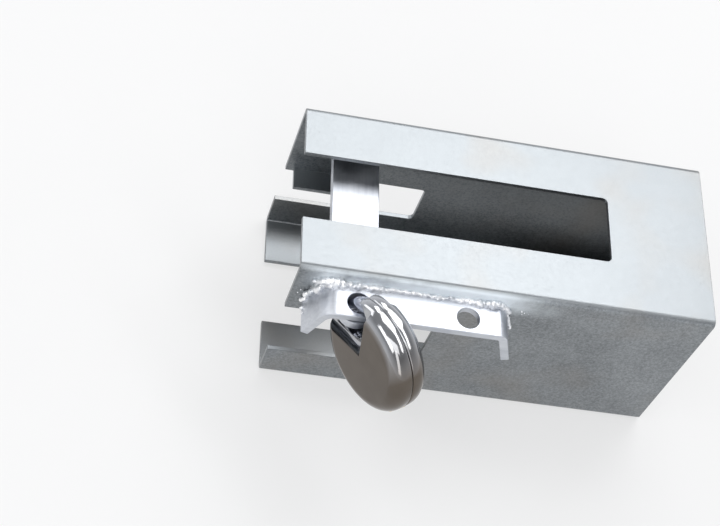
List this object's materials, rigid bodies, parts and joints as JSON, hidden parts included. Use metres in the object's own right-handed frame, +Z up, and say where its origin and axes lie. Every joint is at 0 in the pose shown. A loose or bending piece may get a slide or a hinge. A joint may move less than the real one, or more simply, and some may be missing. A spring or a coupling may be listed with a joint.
{
  "type": "trailer coupler lock",
  "caption": "Folded steel box that slides over a trailer coupler, with a crossing tongue held by a round shrouded padlock in a welded bracket.",
  "frame": {"origin": "middle of the open rear mouth, at the level of the lips' underside", "axes": "+X from the rear mouth to the closed nose, +Y across to the wall without the padlock, +Z up to the slotted top plate"},
  "size_m": [0.25, 0.1788, 0.1339],
  "materials": {
    "galvanised_steel": "hot-dip galvanised sheet",
    "bright_bar": "bright zinc over flat bar",
    "weld_metal": "galvanised weld bead",
    "polished_stainless": "polished stainless steel",
    "plain_steel": "turned steel",
    "brass": "machined brass"
  },
  "bodies": {
    "box": {"box_shell": "galvanised_steel", "nose_plate": "galvanised_steel", "nose_weld": "weld_metal", "lock_bracket": "bright_bar", "bracket_weld": "weld_metal", "locking_tongue": "bright_bar"},
    "padlock": {"front_shell": "polished_stainless", "rear_shell": "polished_stainless", "pivot_pin": "plain_steel", "pivot_washers": "brass", "cylinder_housing": "brass", "chamber_cap": "plain_steel", "driver_pins": "plain_steel", "pin_springs": "plain_steel"},
    "shackle": {"shackle": "polished_stainless", "shackle_carrier": "plain_steel", "carrier_rivets": "plain_steel"},
    "plug": {"key_plug": "brass", "plug_clip": "plain_steel", "drive_crank": "plain_steel", "key_pins": "brass"}
  },
  "joints": [
    {"name": "padlock_swing", "type": "hinge", "parent": "box", "child": "padlock", "pos_m": [0.0365, -0.0681, 0.1115], "axis": [0, 0, 1], "range_deg": [-64, 1]},
    {"name": "shackle_turn", "type": "hinge", "parent": "padlock", "child": "shackle", "pos_m": [0.05065, -0.08907, 0.09895], "axis": [0.829, 0.5592, 0], "range_deg": [0, 80]},
    {"name": "plug_turn", "type": "hinge", "parent": "padlock", "child": "plug", "pos_m": [0.05065, -0.08907, 0.09895], "axis": [0.4937, -0.732, -0.4695], "range_deg": [0, 120]}
  ],
  "couplings": [
    {"joint": "plug_turn", "follows": "shackle_turn", "ratio": 1.5}
  ]
}
